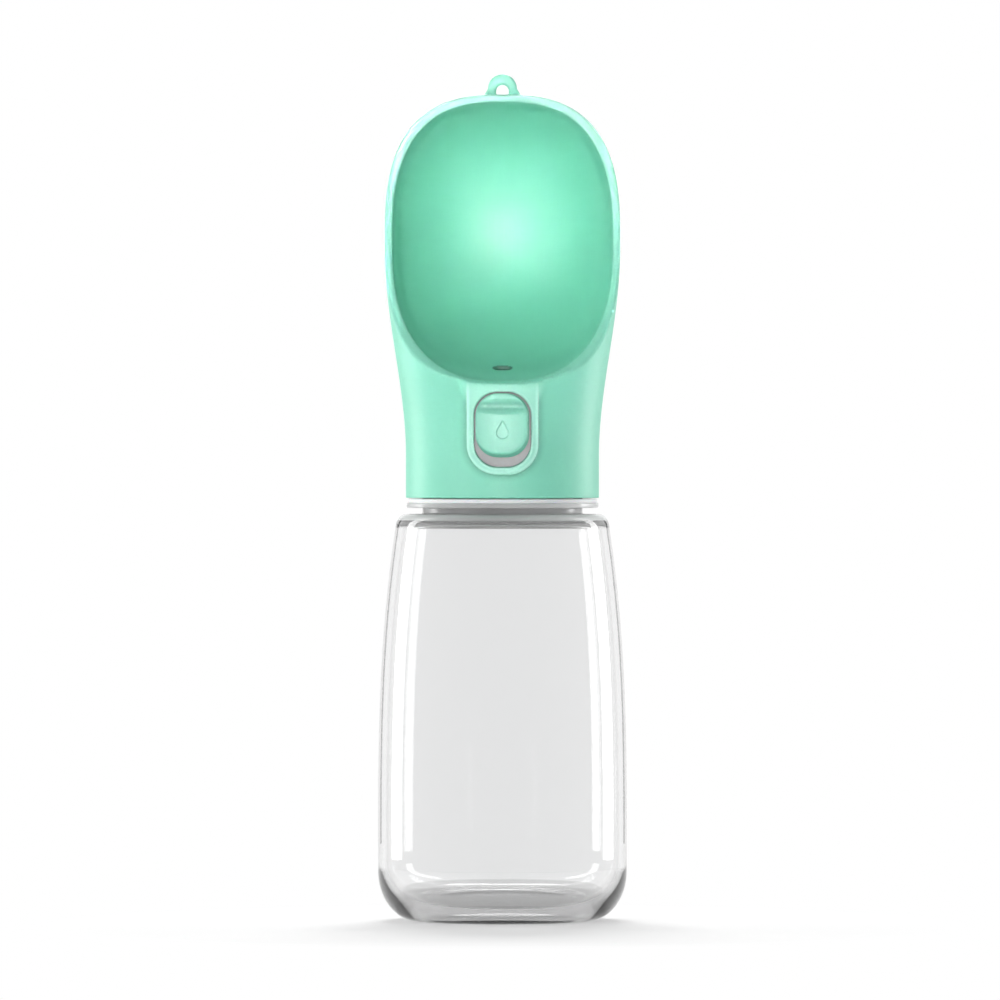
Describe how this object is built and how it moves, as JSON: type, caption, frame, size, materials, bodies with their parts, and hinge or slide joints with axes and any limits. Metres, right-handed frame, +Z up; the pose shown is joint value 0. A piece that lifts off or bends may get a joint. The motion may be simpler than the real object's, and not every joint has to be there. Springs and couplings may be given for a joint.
{
  "type": "travel water bottle",
  "caption": "Travel water bottle for dogs, with a clear screw-neck bottle, a mint bowl head, a sliding lock button and a spring valve.",
  "frame": {"origin": "centre of the base, on the ground under the bottle's axis", "axes": "+Z up along the bottle's axis, -Y towards the bowl's open side and the button, +X towards the viewer's right when the button is faced"},
  "size_m": [0.0706, 0.0706, 0.24],
  "materials": {
    "clear_plastic": "clear, smooth",
    "frosted_silicone": "frosted, translucent",
    "silicone": "matte",
    "mint_plastic": "satin",
    "mint_button": "satin",
    "white_plastic": "matte",
    "grey_plastic": "matte",
    "steel": "brushed"
  },
  "bodies": {
    "bottle": {"bottle": "clear_plastic", "flange_gasket": "frosted_silicone"},
    "seal": {"neck_seal": "silicone"},
    "head": {"head_shell": "mint_plastic", "valve_deck": "white_plastic", "deck_seal": "silicone", "valve_cage": "white_plastic", "valve_screws": "steel", "lever_pin": "steel", "plunger_guide": "white_plastic", "guide_gasket": "silicone", "guide_screws": "steel", "plunger_seal": "silicone", "valve_spring": "steel", "button_spring": "steel"},
    "carriage": {"button_carriage": "grey_plastic"},
    "cap": {"lock_button": "mint_button"},
    "lever": {"lever": "white_plastic"},
    "stem": {"valve_stem": "white_plastic", "valve_plug": "silicone", "stem_clip": "steel"}
  },
  "joints": [
    {"name": "head_lift", "type": "slide", "parent": "bottle", "child": "seal", "axis": [0, 0, 1], "range_m": [0, 0.006]},
    {"name": "head_turn", "type": "hinge", "parent": "seal", "child": "head", "pos_m": [0, 0, 0.125], "axis": [0, 0, 1], "range_deg": [0, 540]},
    {"name": "button_press", "type": "slide", "parent": "head", "child": "carriage", "axis": [0, 1, 0], "range_m": [0, 0.002], "stiffness_N_per_m": 400, "springref_m": -0.002, "deforming": ["button_spring"]},
    {"name": "lock_slide", "type": "slide", "parent": "carriage", "child": "cap", "axis": [0, 0, 1], "range_m": [-0.0023, 0]},
    {"name": "lever_tilt", "type": "hinge", "parent": "head", "child": "lever", "pos_m": [0, -0.013, 0.1364], "axis": [-1, 0, 0], "range_deg": [0, 19.2]},
    {"name": "stem_drop", "type": "slide", "parent": "head", "child": "stem", "axis": [0, 0, -1], "range_m": [0, 0.003], "stiffness_N_per_m": 300, "springref_m": -0.003, "deforming": ["valve_spring"]}
  ],
  "couplings": [
    {"joint": "head_turn", "follows": "head_lift", "rad_per_m": 1570.8},
    {"joint": "lever_tilt", "follows": "button_press", "rad_per_m": 166.67},
    {"joint": "stem_drop", "follows": "button_press", "ratio": 1.475}
  ]
}
